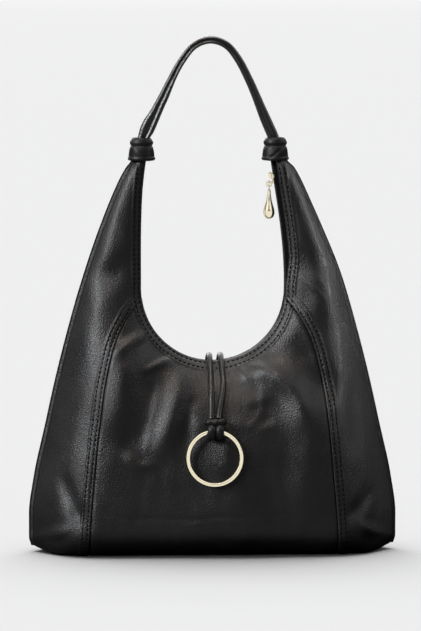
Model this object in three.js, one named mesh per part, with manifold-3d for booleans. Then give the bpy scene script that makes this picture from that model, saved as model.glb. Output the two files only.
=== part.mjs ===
// Slouchy leather shoulder tote: soft body with two wings, an open zip mouth, a rolled strap tied
// into two knots, and a ring on a lace loop over the front rim.
// Millimetres, +Z up, the front faces -Y, the origin is on the floor under the middle of the base.
import * as THREE from 'three';
import { mergeVertices } from 'three/addons/utils/BufferGeometryUtils.js';
import Module from 'manifold-3d';

const wasm = await Module();
wasm.setup();

// Leather and seams
const WALL = 2.0;
const SEAM_GAP = 0.3;
const HALF_GAP = SEAM_GAP / 2;

// Body: bottom edge, lifted ends of the base, and how far and how softly the sides slope to their seam
const BOTTOM_RADIUS = 30;
const END_LIFT = 6.5;
const END_LIFT_FROM = 148;
const SIDE_SLOPE = 0.72;
const SIDE_POWER = 3.5;
const WING_TOP_Z = 397;

// Rim of the mouth: a round U whose legs close in towards the knots; the back one sits a little lower,
// and the right leg of the front one stands further out, which bares the zip beside it
const RIM_RADIUS = 72;
const RIM_X = 1.2;
const RIM_Z = 265;
const LEG_CLOSE = 9;
const LEG_RISE = 122;
const RIGHT_OUT = 4.5;
const RIGHT_OUT_FROM = 262;
const RIGHT_OUT_FULL = 300;
const BACK_DROP = 2.5;
const SEAM_TOP_Z = 256;
const MOUTH_HALF = 16;
const MOUTH_HALF_TOP = 5;

// Zip
const TAPE = 0.9;
const TAPE_HIDDEN = 7;
const TAPE_REACH = 5.5;
const TEETH_HALF = 1.2;
const TEETH_APART = 1.3;
const TAPE_TOP_Z = 387;
const SLIDER_Z = 374;
const BAIL_OUT = 2.9;
const BAIL_DOWN = 4.0;
const BAIL_RADIUS = 3.6;
const LINK_RADIUS = 2.6;
const LINK_WIRE = 0.65;
const EYE_RADIUS = 2.4;
const EYE_WIRE = 0.6;

// Strap, knots
const KNOT_X = 66.7;
const KNOT_Z = 389;
const KNOT_FLAT = 0.92;
const STRAP_STEPS = 36;

// Lace loop and ring
const LACE_RADIUS = 2.9;
const RING_RADIUS = 26.35;
const RING_WIRE = 2.15;
const RING_X = -0.2;
const RING_TILT = 3.6;
const HITCH_X = 0.6;
const HITCH_Z = 127.4;
const HITCH_LOOP = 5.7;
const HITCH_TUBE = 2.75;
const HITCH_WIDE = 1.4;
const HITCH_OUT = 9.0;

// Sections of the body from the floor up: half width of the outline, half depth of the full body,
// and how far from the rim that full depth is reached
const SECTIONS = [
  { z: 0, half: 181, depth: 62, shoulder: 80 },
  { z: 10, half: 183.2, depth: 62, shoulder: 80 },
  { z: 36, half: 183.2, depth: 62, shoulder: 80 },
  { z: 76, half: 178.2, depth: 61, shoulder: 80 },
  { z: 126, half: 167.2, depth: 57, shoulder: 78 },
  { z: 176, half: 156, depth: 47.5, shoulder: 72 },
  { z: 226, half: 143.2, depth: 34, shoulder: 58 },
  { z: 276, half: 128.6, depth: 22.5, shoulder: 38 },
  { z: 326, half: 110, depth: 15.5, shoulder: 23 },
  { z: 371, half: 90, depth: 11.4, shoulder: 13 },
  { z: 385, half: 82, depth: 10.2, shoulder: 11 },
  { z: 389, half: 77.6, depth: 9.4, shoulder: 10 },
  { z: 397, half: 75, depth: 8.6, shoulder: 9 },
];

// How much further the right outline stands out
const RIGHT_WIDER = [
  { z: 0, x: 2 },
  { z: 340, x: 2 },
  { z: 385, x: 4 },
  { z: 387, x: 4 },
  { z: 389, x: 0 },
  { z: 397, x: 0 },
];

// Seam between the middle panel and the side panels, from the floor to the rim
const SEAM = [
  { z: 0, x: 125 },
  { z: 48, x: 122 },
  { z: 104, x: 117 },
  { z: 140, x: 113 },
  { z: 166, x: 109.5 },
  { z: 191, x: 104.5 },
  { z: 215, x: 97.5 },
  { z: 238, x: 85.5 },
  { z: 256, x: 71.4 },
];

// The wings lean a little to the left as they go up
const LEAN = [
  { z: 0, x: 0 },
  { z: 270, x: 0 },
  { z: 326, x: -1.5 },
  { z: 390, x: -3.1 },
  { z: 430, x: -3.0 },
  { z: 470, x: -1.5 },
  { z: 514, x: -0.7 },
];

// Drape of the front: each fold runs through points x, z, and rises or sinks by its height, less at its ends
const FRONT_FOLDS = [
  { width: 11, height: 5, line: [[-28, 190], [-37, 160], [-46, 127], [-66, 82]] },
  { width: 17, height: -5.5, line: [[-46, 205], [-60, 172], [-73, 145], [-88, 92]] },
  { width: 17, height: 5, line: [[-86, 225], [-93, 110]] },
  { width: 11, height: 4, line: [[12, 178], [47, 168], [64, 158], [88, 130]] },
  { width: 11, height: -4, line: [[36, 197], [64, 190], [84, 177], [104, 152]] },
  { width: 30, height: -6, line: [[58, 240], [100, 140]] },
  { width: 14, height: 5, line: [[94, 184], [80, 90]] },
  { width: 40, height: 5, line: [[22, 150], [18, -10]] },
  { width: 12, height: -4, line: [[136, 182], [148, 90]] },
  { width: 11, height: -4, line: [[-158, 97], [-126, 20]] },
  { width: 11, height: -4, line: [[166, 74], [130, 32]] },
  { width: 8, height: 4.5, line: [[-198, 2], [-138, 32]] },
  { width: 8, height: 4.5, line: [[198, 1], [138, 35]] },
  { width: 14, height: -4, line: [[-130, 268], [-62, 296]] },
  { width: 14, height: -4, line: [[64, 300], [132, 282]] },
  { width: 14, height: 3, line: [[92, 318], [122, 225]] },
];

// Milder drape of the back
const BACK_FOLDS = [
  { width: 24, height: -4, line: [[-30, 205], [-62, 150], [-80, 80]] },
  { width: 22, height: 3.5, line: [[-84, 215], [-98, 110]] },
  { width: 26, height: 4, line: [[10, 185], [52, 160], [84, 110]] },
  { width: 20, height: -4, line: [[48, 215], [88, 180], [112, 130]] },
  { width: 12, height: -4, line: [[-158, 90], [-128, 22]] },
  { width: 12, height: -4, line: [[164, 80], [130, 30]] },
  { width: 8, height: 4.5, line: [[-198, 2], [-138, 33]] },
  { width: 8, height: 4.5, line: [[198, 2], [138, 33]] },
];

// Strap from its top down to a knot: half span, height, width of the outer and inner roll, half depth
const STRAP = [
  { span: 0, z: 511.5, outer: 4.0, inner: 3.8, depth: 4.2 },
  { span: 16.2, z: 506, outer: 4.0, inner: 3.8, depth: 4.2 },
  { span: 28.5, z: 491, outer: 4.1, inner: 3.8, depth: 4.2 },
  { span: 39.2, z: 471, outer: 4.4, inner: 3.7, depth: 4.1 },
  { span: 48.6, z: 451, outer: 5.2, inner: 3.6, depth: 4.0 },
  { span: 57.6, z: 431, outer: 7.0, inner: 3.6, depth: 3.8 },
  { span: 63.8, z: 417, outer: 7.4, inner: 3.6, depth: 3.6 },
  { span: 65.6, z: 412, outer: 6.4, inner: 4.6, depth: 3.6 },
  { span: 66.4, z: 406.5, outer: 5.8, inner: 5.2, depth: 3.6 },
];

// Knot from the socket for the wing, round the outside and down the socket for the strap
const KNOT = [
  { r: 0, z: 9.0 },
  { r: 9.9, z: 9.0 },
  { r: 11.5, z: 0.6 },
  { r: 12.4, z: 0.0 },
  { r: 13.4, z: 0.8 },
  { r: 13.7, z: 2.2 },
  { r: 13.3, z: 4.0 },
  { r: 13.0, z: 6.5 },
  { r: 12.6, z: 9.5 },
  { r: 12.1, z: 12.5 },
  { r: 11.3, z: 15.0 },
  { r: 10.7, z: 16.4 },
  { r: 11.2, z: 18.0 },
  { r: 11.3, z: 20.0 },
  { r: 10.4, z: 23.0 },
  { r: 9.3, z: 25.0 },
  { r: 8.7, z: 25.4 },
  { r: 8.2, z: 24.6 },
  { r: 7.3, z: 21.0 },
  { r: 7.1, z: 16.6 },
  { r: 0, z: 16.6 },
];

// Teardrop pull below its eye
const DROP = [
  { r: 0, z: 0.4 },
  { r: 0.9, z: 0.2 },
  { r: 1.5, z: -1.0 },
  { r: 1.9, z: -5.0 },
  { r: 2.8, z: -11.0 },
  { r: 4.3, z: -16.5 },
  { r: 5.4, z: -21.0 },
  { r: 5.3, z: -24.5 },
  { r: 3.9, z: -27.6 },
  { r: 1.8, z: -29.0 },
  { r: 0, z: -29.4 },
];

const FRONT = { sign: -1, drop: 0, out: RIGHT_OUT, folds: FRONT_FOLDS };
const BACK = { sign: 1, drop: BACK_DROP, out: 0, folds: BACK_FOLDS };

const clamp01 = (value) => Math.min(Math.max(value, 0), 1);
const mix = (a, b, t) => a + (b - a) * t;
const ease = (a, b, value) => {
  const t = clamp01((value - a) / (b - a));
  return t * t * (3 - 2 * t);
};

// Smooth curve through one column of a table that overshoots no row
function column(rows, key, at = 'z') {
  const steps = rows.slice(1).map((row, i) => (row[key] - rows[i][key]) / (row[at] - rows[i][at]));
  const slopes = rows.map((_, i) => {
    const before = steps[Math.max(i - 1, 0)];
    const after = steps[Math.min(i, steps.length - 1)];
    return before * after <= 0 ? 0 : (2 * before * after) / (before + after);
  });
  return (where) => {
    let i = 0;
    while (i < rows.length - 2 && where > rows[i + 1][at]) i += 1;
    const span = rows[i + 1][at] - rows[i][at];
    const t = clamp01((where - rows[i][at]) / span);
    const a = rows[i][key];
    const b = rows[i + 1][key];
    const hermite = a * (1 + 2 * t) * (1 - t) ** 2 + b * t * t * (3 - 2 * t);
    return hermite + span * t * (1 - t) * (slopes[i] * (1 - t) - slopes[i + 1] * t);
  };
}

const leftOutline = column(SECTIONS, 'half');
const rightWider = column(RIGHT_WIDER, 'x');
const outlineHalf = (z, hand) => leftOutline(z) + (hand > 0 ? rightWider(z) : 0);
const fullDepth = column(SECTIONS, 'depth');
const shoulder = column(SECTIONS, 'shoulder');
const seamHalf = column(SEAM, 'x');
const lean = column(LEAN, 'x');
const mouthHalf = (z) => mix(MOUTH_HALF, MOUTH_HALF_TOP, ease(193, 386, z));

// How much further out the right leg of a rim stands than the zip along it
const bared = (face, z, hand) => (hand > 0 ? face.out * ease(RIGHT_OUT_FROM, RIGHT_OUT_FULL, z) : 0);

// Rim of one face at a height: its middle, the height of its centre, its half width to one hand
function rim(face, z, hand) {
  const centre = RIM_Z - face.drop;
  const middle = RIM_X * (1 - ease(300, 370, z));
  if (z < centre) {
    const drop = Math.min(centre - z, RIM_RADIUS);
    return { middle, centre, half: Math.sqrt(RIM_RADIUS ** 2 - drop ** 2) };
  }
  const half = RIM_RADIUS - LEG_CLOSE * (Math.max(z - RIM_Z, 0) / LEG_RISE) ** 2;
  return { middle, centre, half: half + bared(face, z, hand) };
}

function distanceToRim(face, x, z) {
  const edge = rim(face, z, Math.sign(x));
  if (z < edge.centre) return Math.hypot(x - edge.middle, z - edge.centre) - RIM_RADIUS;
  return Math.abs(x - edge.middle) - edge.half;
}

// How far a point is from a line through points, and what share of the line lies behind it there
function nearestOn(line, x, z) {
  const legs = line.slice(1).map(([x1, z1], i) => {
    const [x0, z0] = line[i];
    return { x0, z0, dx: x1 - x0, dz: z1 - z0, size: Math.hypot(x1 - x0, z1 - z0) };
  });
  const whole = legs.reduce((sum, leg) => sum + leg.size, 0);
  let best = { away: Infinity, done: 0 };
  let run = 0;
  for (const leg of legs) {
    const along = clamp01(((x - leg.x0) * leg.dx + (z - leg.z0) * leg.dz) / leg.size ** 2);
    const away = Math.hypot(x - leg.x0 - leg.dx * along, z - leg.z0 - leg.dz * along);
    if (away < best.away) best = { away, done: (run + along * leg.size) / whole };
    run += leg.size;
  }
  return best;
}

function foldHeight(folds, x, z) {
  let total = 0;
  for (const fold of folds) {
    const { away, done } = nearestOn(fold.line, x, z);
    const swell = ease(0, 0.35, done) * ease(1, 0.65, done);
    total += fold.height * swell * Math.exp(-((away / fold.width) ** 2));
  }
  return total;
}

// How far the leather stands from the middle plane at a point of one face
function depthAt(face, x, z) {
  const turn = Math.min(z, BOTTOM_RADIUS) - BOTTOM_RADIUS;
  const inset = BOTTOM_RADIUS - Math.sqrt(BOTTOM_RADIUS ** 2 - turn ** 2);
  const full = fullDepth(z) - inset;
  const hand = Math.sign(x);
  const outer = outlineHalf(z, hand);
  const slope = Math.min(SIDE_SLOPE * full + 1.5, 0.6 * (outer - rim(face, z, hand).half));
  const inside = Math.max(outer - Math.abs(x), 0) / slope;
  const side = inside / (1 + inside ** SIDE_POWER) ** (1 / SIDE_POWER);
  const distance = distanceToRim(face, x, z);
  const rise = 1 - (1 - clamp01(distance / shoulder(z))) ** 3;
  const drape = foldHeight(face.folds, x, z) * ease(2, 26, distance);
  return Math.max(side * (mix(mouthHalf(z), full, rise) + drape), HALF_GAP);
}

const atEnd = (x) => ease(END_LIFT_FROM, 183, Math.abs(x)) ** 1.5;
const endLift = (x, z) => END_LIFT * atEnd(x) * (1 - clamp01(z / 70)) ** 2;

function bodyPoint(face, x, z) {
  return new THREE.Vector3(x + lean(z), face.sign * depthAt(face, x, z), z + endLift(x, z));
}

// Closed solid between two grids of points that face each other
function shell(outer, inner) {
  const rows = outer.length;
  const cols = outer[0].length;
  const positions = [...outer.flat(), ...inner.flat()].flatMap((p) => p.toArray());
  const index = [];
  const at = (layer, i, j) => layer * rows * cols + i * cols + j;
  const quad = (a, b, c, d) => index.push(a, b, c, a, c, d);
  for (let i = 0; i < rows - 1; i += 1) {
    for (let j = 0; j < cols - 1; j += 1) {
      quad(at(0, i, j), at(0, i, j + 1), at(0, i + 1, j + 1), at(0, i + 1, j));
      quad(at(1, i, j), at(1, i + 1, j), at(1, i + 1, j + 1), at(1, i, j + 1));
    }
    quad(at(0, i, 0), at(0, i + 1, 0), at(1, i + 1, 0), at(1, i, 0));
    quad(at(0, i, cols - 1), at(1, i, cols - 1), at(1, i + 1, cols - 1), at(0, i + 1, cols - 1));
  }
  for (let j = 0; j < cols - 1; j += 1) {
    quad(at(0, 0, j), at(1, 0, j), at(1, 0, j + 1), at(0, 0, j + 1));
    quad(at(0, rows - 1, j), at(0, rows - 1, j + 1), at(1, rows - 1, j + 1), at(1, rows - 1, j));
  }
  return facingOut(positions, index);
}

// Closed solid through a row of rings, each end closed by a fan
function loft(rings) {
  const sides = rings[0].length;
  const positions = rings.flat().flatMap((p) => p.toArray());
  const index = [];
  for (let i = 0; i < rings.length - 1; i += 1) {
    for (let j = 0; j < sides; j += 1) {
      const k = (j + 1) % sides;
      const a = i * sides;
      const b = a + sides;
      index.push(a + j, a + k, b + k, a + j, b + k, b + j);
    }
  }
  const close = (ring, start, flip) => {
    const middle = ring.reduce((sum, p) => sum.add(p), new THREE.Vector3()).divideScalar(sides);
    const tip = positions.length / 3;
    positions.push(...middle.toArray());
    for (let j = 0; j < sides; j += 1) {
      const k = (j + 1) % sides;
      index.push(tip, start + (flip ? k : j), start + (flip ? j : k));
    }
  };
  close(rings[0], 0, true);
  close(rings.at(-1), (rings.length - 1) * sides, false);
  return facingOut(positions, index);
}

function facingOut(positions, index) {
  const corner = (i) => new THREE.Vector3().fromArray(positions, index[i] * 3);
  let volume = 0;
  for (let i = 0; i < index.length; i += 3) volume += corner(i).dot(corner(i + 1).cross(corner(i + 2)));
  const geometry = new THREE.BufferGeometry();
  geometry.setAttribute('position', new THREE.Float32BufferAttribute(positions, 3));
  geometry.setIndex(volume < 0 ? index.slice().reverse() : index);
  return geometry;
}

// Points and inward offsets of a surface given by two parameters from 0 to 1
function offsetGrids(surface, us, vs, depths) {
  const step = 1e-4;
  const normal = (u, v) => {
    const du = surface(Math.min(u + step, 1), v).sub(surface(Math.max(u - step, 0), v));
    const dv = surface(u, Math.min(v + step, 1)).sub(surface(u, Math.max(v - step, 0)));
    return du.cross(dv).normalize();
  };
  return depths.map((depth) =>
    vs.map((v) => us.map((u) => surface(u, v).addScaledVector(normal(u, v), -depth))));
}

const evenly = (count) => Array.from({ length: count + 1 }, (_, i) => i / count);

// Steps across a panel, and up the seam, closer together round the side and the bottom edge
const MIDDLE_STEPS = 16;
const SIDE_STEPS = 8;
const sideX = (inner, z, t, hand) => mix(inner, outlineHalf(z, hand), (1 - Math.cos(t * Math.PI)) / 2);
const seamSteps = [
  ...evenly(4).map((t) => 0.17 * (1 - Math.cos((t * Math.PI) / 2))),
  ...evenly(10).slice(1).map((t) => mix(0.17, 1, 1 - (1 - t) ** 1.4)),
];

// Middle panel of one face, between the two seams and under the rim
function middlePanel(face) {
  const top = rim(face, SEAM_TOP_Z, 1);
  const swing = Math.atan2(top.half, top.centre - SEAM_TOP_Z);
  const surface = (u, v) => {
    const s = face.sign < 0 ? 2 * u - 1 : 1 - 2 * u;
    const edge = seamHalf(SEAM_TOP_Z * v) - HALF_GAP;
    const reach = RIM_RADIUS * Math.sin(swing * s) + top.middle;
    const x = s * edge + v * (reach - s * seamHalf(SEAM_TOP_Z));
    const z = v * (top.centre - RIM_RADIUS * Math.cos(swing * s));
    return bodyPoint(face, x, z);
  };
  const [outer, inner] = offsetGrids(surface, evenly(MIDDLE_STEPS), seamSteps, [0, WALL]);
  return shell(outer, inner);
}

// Side panel of one face on one side, from the base up into the wing
function sidePanel(face, hand) {
  const innerEdge = (z) => {
    const edge = rim(face, z, hand);
    const top = rim(face, SEAM_TOP_Z, hand);
    const shifted = top.half + hand * top.middle - seamHalf(SEAM_TOP_Z);
    if (z < SEAM_TOP_Z) return seamHalf(z) + HALF_GAP + shifted * (z / SEAM_TOP_Z);
    return edge.half + hand * edge.middle;
  };
  const surface = (u, v) => {
    const z = v * WING_TOP_Z;
    const t = face.sign * hand < 0 ? u : 1 - u;
    const x = hand * sideX(innerEdge(z), z, t, hand);
    return bodyPoint(face, x, z);
  };
  const wing = evenly(7).slice(1).map((t) => mix(SEAM_TOP_Z, 386, t));
  const heights = [...seamSteps.map((v) => v * SEAM_TOP_Z), ...wing, 389.5, WING_TOP_Z];
  const shares = heights.map((z) => z / WING_TOP_Z);
  const [outer, inner] = offsetGrids(surface, evenly(SIDE_STEPS), shares, [0, WALL]);
  for (const p of [...outer.flat(), ...inner.flat()]) p.y = face.sign * Math.max(face.sign * p.y, HALF_GAP);
  return shell(outer, inner);
}

// Flat base, whose outline is where the panels turn under
function basePanel() {
  const middle = evenly(MIDDLE_STEPS).map((u) => (2 * u - 1) * (seamHalf(0) - HALF_GAP));
  const edge = seamHalf(0) + HALF_GAP;
  const end = (hand) => evenly(SIDE_STEPS).slice(0, -1).map((t) => hand * sideX(edge, 0, t, hand));
  const stations = [...end(-1).reverse(), ...middle, ...end(1)];
  const layer = (height) => stations.map((x) => {
    const turned = WALL * ease(END_LIFT_FROM, 178, Math.abs(x));
    const [front, back] = [FRONT, BACK].map((face) => face.sign * (depthAt(face, x, 0) - SEAM_GAP - turned));
    const inward = x - Math.sign(x) * (Math.abs(x) > seamHalf(0) ? SEAM_GAP + turned : 0);
    return evenly(4).map((t) => new THREE.Vector3(inward, mix(front, back, t), endLift(x, 0) + height));
  });
  return shell(layer(0), layer(WALL));
}

// Stations along the rim from the left knot round the U to the right knot
function rimStations(face) {
  const { middle, centre } = rim(face, RIM_Z - RIM_RADIUS, 1);
  const legs = evenly(8).map((t) => mix(TAPE_TOP_Z, centre + 6, t));
  const arc = evenly(18).map((t) => mix(-Math.PI / 2, Math.PI / 2, t));
  const onLeg = (hand) => (z) => {
    const edge = rim(face, z, hand);
    const slope = rim(face, z + 1, hand).half - edge.half;
    const away = new THREE.Vector2(hand, -slope).normalize();
    return { x: edge.middle + hand * edge.half, z, away, bare: bared(face, z, hand) };
  };
  const onArc = (angle) => {
    const away = new THREE.Vector2(Math.sin(angle), -Math.cos(angle));
    return { x: middle + RIM_RADIUS * away.x, z: centre + RIM_RADIUS * away.y, away, bare: 0 };
  };
  return [...legs.map(onLeg(-1)), ...arc.map(onArc), ...legs.reverse().map(onLeg(1))];
}

// Tape of one face: sewn behind the rim, with its row of teeth reaching into the mouth
function zipTape(face) {
  const stations = rimStations(face);
  const behind = (station, d, depth) => {
    const at = (away, along) => {
      const x = station.x + station.away.x * away - station.away.y * along;
      const z = station.z + station.away.y * away + station.away.x * along;
      return bodyPoint(face, x, z);
    };
    const across = at(d + 0.05, 0).sub(at(d, 0));
    const along = at(d, 0.05).sub(at(d, -0.05));
    const normal = across.cross(along).normalize();
    if (normal.y * face.sign < 0) normal.negate();
    return at(d, 0).addScaledVector(normal, -depth);
  };
  const mouth = (station, d) => {
    const reach = Math.max(mouthHalf(station.z) - TAPE_REACH, TEETH_APART);
    const x = station.x - station.bare + station.away.x * d + lean(station.z);
    return new THREE.Vector3(x, face.sign * reach, station.z + station.away.y * d);
  };
  const near = WALL + 0.75;
  const outer = stations.map((s) => {
    const hidden = Math.min(TAPE_HIDDEN, 0.3 * shoulder(s.z));
    return [behind(s, hidden, near + SEAM_GAP), behind(s, 0.6, near), mouth(s, 1.4 - TEETH_HALF)];
  });
  const inner = stations.map((s) => {
    const hidden = Math.min(TAPE_HIDDEN, 0.3 * shoulder(s.z));
    const lower = near + TAPE;
    return [behind(s, hidden, lower + SEAM_GAP), behind(s, 0.6 + TAPE, lower), mouth(s, 1.4 + TEETH_HALF)];
  });
  return shell(outer, inner);
}

// Round piece turned about Z from a table of radii and heights
function turned(rows, sides) {
  const profile = rows.map((row) => new THREE.Vector2(row.r, row.z));
  return new THREE.LatheGeometry(profile, sides).rotateX(Math.PI / 2);
}

function bare(geometry) {
  const copy = geometry.clone();
  copy.deleteAttribute('normal');
  copy.deleteAttribute('uv');
  const merged = mergeVertices(copy, 1e-3);
  const kept = [];
  const index = merged.index.array;
  for (let i = 0; i < index.length; i += 3) {
    const [a, b, c] = index.slice(i, i + 3);
    if (a !== b && b !== c && c !== a) kept.push(a, b, c);
  }
  return facingOut([...merged.attributes.position.array], kept);
}

// A solid that can be joined and cut, and the geometry of one
function solid(geometry) {
  const clean = bare(geometry);
  const vertProperties = new Float32Array(clean.attributes.position.array);
  const triVerts = new Uint32Array(clean.index.array);
  return new wasm.Manifold(new wasm.Mesh({ numProp: 3, vertProperties, triVerts }));
}

function geometryOf(shape) {
  const mesh = shape.getMesh();
  return facingOut([...mesh.vertProperties], [...mesh.triVerts]);
}

// Wound knot: flared collar with a rolled lower rim, a round wrap above, folds that run across both
function knot(hand) {
  const sides = 16;
  const rings = KNOT.slice(1, -1).map((row) => evenly(sides).slice(0, -1).map((t) => {
    const angle = t * 2 * Math.PI;
    const outside = row.r > 7.4 && !(row.z < 1 && row.r < 12) && row.r !== 9.9;
    const wrap = Math.cos(angle - hand * (0.6 + row.z * 0.11)) ** 8;
    const r = row.r + (outside ? 0.5 * wrap * ease(2, 8, row.z) * (1 - ease(21, 24, row.z)) : 0);
    return new THREE.Vector3(r * Math.cos(angle), KNOT_FLAT * r * Math.sin(angle), row.z);
  }));
  return loft(rings);
}

// Rolled strap: two rolls side by side with a groove between them, wider near the knots
function strap() {
  const half = STRAP.map((row) => new THREE.Vector3(row.span, 0, row.z));
  const left = half.slice(1).reverse().map((p) => new THREE.Vector3(-p.x, 0, p.z));
  const path = new THREE.CatmullRomCurve3([...left, ...half]);
  const rows = STRAP.slice().reverse();
  const width = { outer: column(rows, 'outer'), inner: column(rows, 'inner'), depth: column(rows, 'depth') };
  const rings = evenly(STRAP_STEPS).map((t) => {
    const p = path.getPointAt(t);
    const tangent = path.getTangentAt(t);
    const out = new THREE.Vector3(-tangent.z, 0, tangent.x);
    const outer = width.outer(p.z);
    const inner = width.inner(p.z);
    const depth = width.depth(p.z);
    const roll = (wide, side) => evenly(4).map((s) => {
      const angle = mix(-2.0, 2.0, s);
      return [side * (wide / 2) * (1 + Math.cos(angle)), side * depth * Math.sin(angle)];
    });
    const outline = [...roll(outer, 1), [0, depth * 0.62], ...roll(inner, -1), [0, -depth * 0.62]];
    const middle = (outer - inner) / 2;
    return outline.map(([n, y]) => {
      const q = p.clone().addScaledVector(out, n - middle);
      return new THREE.Vector3(q.x + lean(q.z), y, q.z);
    });
  });
  return loft(rings);
}

// A point that stands off the front leather by a distance along its normal
function offFront(x, z, off) {
  const p = bodyPoint(FRONT, x, z);
  const dx = bodyPoint(FRONT, x + 0.1, z).sub(p);
  const dz = bodyPoint(FRONT, x, z + 0.1).sub(p);
  return p.addScaledVector(dx.cross(dz).normalize(), off);
}

// One leg of the lace: sewn inside the back rim, over the mouth and the front rim, down to the hitch
function laceLeg(xs) {
  const top = xs[0];
  const rimZ = RIM_Z - Math.sqrt(RIM_RADIUS ** 2 - (top - RIM_X) ** 2);
  const points = [
    new THREE.Vector3(top - 1, 8.6, rimZ - 19),
    new THREE.Vector3(top - 1, 8.0, rimZ - 10),
    new THREE.Vector3(top - 0.6, 4.6, rimZ - 1.6),
    new THREE.Vector3(top - 0.3, -2.4, rimZ + 3.2),
    new THREE.Vector3(top, -11, rimZ + 5.0),
    new THREE.Vector3(top, -18.8, rimZ + 3.0),
    offFront(mix(xs[0], xs[1], 0.6), 182, LACE_RADIUS + 1.1),
    offFront(xs[1], 173, LACE_RADIUS + 1.0),
    offFront(xs[2], 161, LACE_RADIUS + 1.0),
    offFront(xs[3], 149, LACE_RADIUS + 1.0),
    offFront(xs[4], 140.8, LACE_RADIUS + 1.5),
  ];
  const section = new THREE.Shape();
  section.absarc(0, 0, LACE_RADIUS, 0, 2 * Math.PI);
  const extrudePath = new THREE.CatmullRomCurve3(points);
  return bare(new THREE.ExtrudeGeometry(section, { steps: 22, curveSegments: 4, extrudePath }));
}

// Hitch: two flat loops round the ring's wire under a band round both legs
function hitch() {
  const loop = (hand) => new THREE.TorusGeometry(HITCH_LOOP, HITCH_TUBE, 7, 12)
    .rotateY(Math.PI / 2)
    .scale(HITCH_WIDE, 1, 1)
    .translate(hand * HITCH_TUBE * HITCH_WIDE, 0, 0);
  const band = new THREE.SphereGeometry(1, 12, 8).scale(9.2, 4.8, 4.4).translate(0, 2.9, 8.8);
  return geometryOf(solid(loop(-1)).add(solid(loop(1))).add(solid(band)));
}

// Slider: two plates on a post between the rows of teeth, with a bail that stands out to the left
function slider() {
  const front = new THREE.BoxGeometry(1.2, 8.4, 10.5).translate(-2.3, 0, 0);
  const back = new THREE.BoxGeometry(1.2, 2.0, 9.0).translate(2.4, 0, 0);
  const post = new THREE.BoxGeometry(4.4, 1.4, 4.0).translate(0, 0, 2.0);
  const loop = new THREE.TorusGeometry(BAIL_RADIUS, LINK_WIRE, 6, 16).translate(-BAIL_OUT, 0, -BAIL_DOWN);
  const behind = new THREE.BoxGeometry(6, 10, 4).translate(3 - BAIL_OUT + 0.4, 0, -BAIL_DOWN);
  const bail = solid(loop).subtract(solid(behind));
  return geometryOf(solid(front).add(solid(back)).add(solid(post)).add(bail));
}

// Teardrop with the eye that hangs on the link
function drop() {
  const eye = new THREE.TorusGeometry(EYE_RADIUS, EYE_WIRE, 6, 12);
  eye.rotateY(Math.PI / 2).translate(0, 0, EYE_RADIUS);
  return geometryOf(solid(eye).add(solid(turned(DROP, 14))));
}

const LEATHER = { color: 0x17181b, roughness: 0.42, metalness: 0 };
const TAPE_LOOK = { color: 0x0b0b0c, roughness: 0.85, metalness: 0 };
const GOLD = { color: 0xe8d3a0, roughness: 0.22, metalness: 1 };

const tote = new THREE.Group();

function piece(name, geometry, look) {
  const mesh = new THREE.Mesh(geometry, new THREE.MeshStandardMaterial(look));
  mesh.name = name;
  tote.add(mesh);
  return mesh;
}

piece('front_panel', middlePanel(FRONT), LEATHER);
piece('back_panel', middlePanel(BACK), LEATHER);
piece('base_panel', basePanel(), LEATHER);
for (const [end, face] of [['front', FRONT], ['back', BACK]]) {
  piece(`side_${end}_left`, sidePanel(face, -1), LEATHER);
  piece(`side_${end}_right`, sidePanel(face, 1), LEATHER);
  piece(`zip_tape_${end}`, zipTape(face), TAPE_LOOK);
}

piece('strap', strap(), LEATHER);
for (const [end, hand] of [['left', -1], ['right', 1]]) {
  piece(`knot_${end}`, knot(hand), LEATHER).position.set(hand * KNOT_X + lean(KNOT_Z + 10), 0, KNOT_Z);
}

piece('lace_left', laceLeg([-2.9, -2.6, -2.6, -2.9, -3.2]), LEATHER);
piece('lace_right', laceLeg([8.3, 10.0, 8.2, 5.6, 3.6]), LEATHER);
const hinge = new THREE.Vector3(HITCH_X, -depthAt(FRONT, HITCH_X, HITCH_Z) - HITCH_OUT, HITCH_Z);
piece('lace_hitch', hitch(), LEATHER).position.copy(hinge);
const ring = piece('ring', new THREE.TorusGeometry(RING_RADIUS, RING_WIRE, 8, 36), GOLD);
ring.geometry.rotateX(Math.PI / 2).translate(RING_X - HITCH_X, 0, -RING_RADIUS);
ring.position.copy(hinge);
ring.rotation.x = -THREE.MathUtils.degToRad(RING_TILT);

// Slider on the right leg of the rim, with the link and the drop hanging from its bail
const legAt = (z) => rim(BACK, z, 1).middle + rim(BACK, z, 1).half + lean(z);
const slant = Math.atan(legAt(SLIDER_Z + 0.5) - legAt(SLIDER_Z - 0.5));
const seat = new THREE.Vector3(legAt(SLIDER_Z) + 1.4, 0, SLIDER_Z);
const zipSlider = piece('zip_slider', slider(), GOLD);
zipSlider.position.copy(seat);
zipSlider.rotation.y = slant;
const bail = new THREE.Vector3(-BAIL_OUT - BAIL_RADIUS, 0, -BAIL_DOWN);
bail.applyEuler(zipSlider.rotation).add(seat);
const link = piece('zip_link', new THREE.TorusGeometry(LINK_RADIUS, LINK_WIRE, 6, 16), GOLD);
link.geometry.rotateX(Math.PI / 2);
link.position.copy(bail).add(new THREE.Vector3(0, 0, 2 * LINK_WIRE + SEAM_GAP - LINK_RADIUS));
const eyeDrop = LINK_RADIUS + EYE_RADIUS - EYE_WIRE - LINK_WIRE - SEAM_GAP;
const zipPull = piece('zip_pull', drop(), GOLD);
zipPull.position.copy(link.position).add(new THREE.Vector3(0, 0, -eyeDrop - EYE_RADIUS));

for (const mesh of tote.children) mesh.geometry = bare(mesh.geometry);

export default tote;
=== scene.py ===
"""Slouchy black leather shoulder tote on a pale studio floor. Metres, the part's own frame."""
import math
import bpy
import numpy as np
from mathutils import Matrix, Vector, noise


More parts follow.
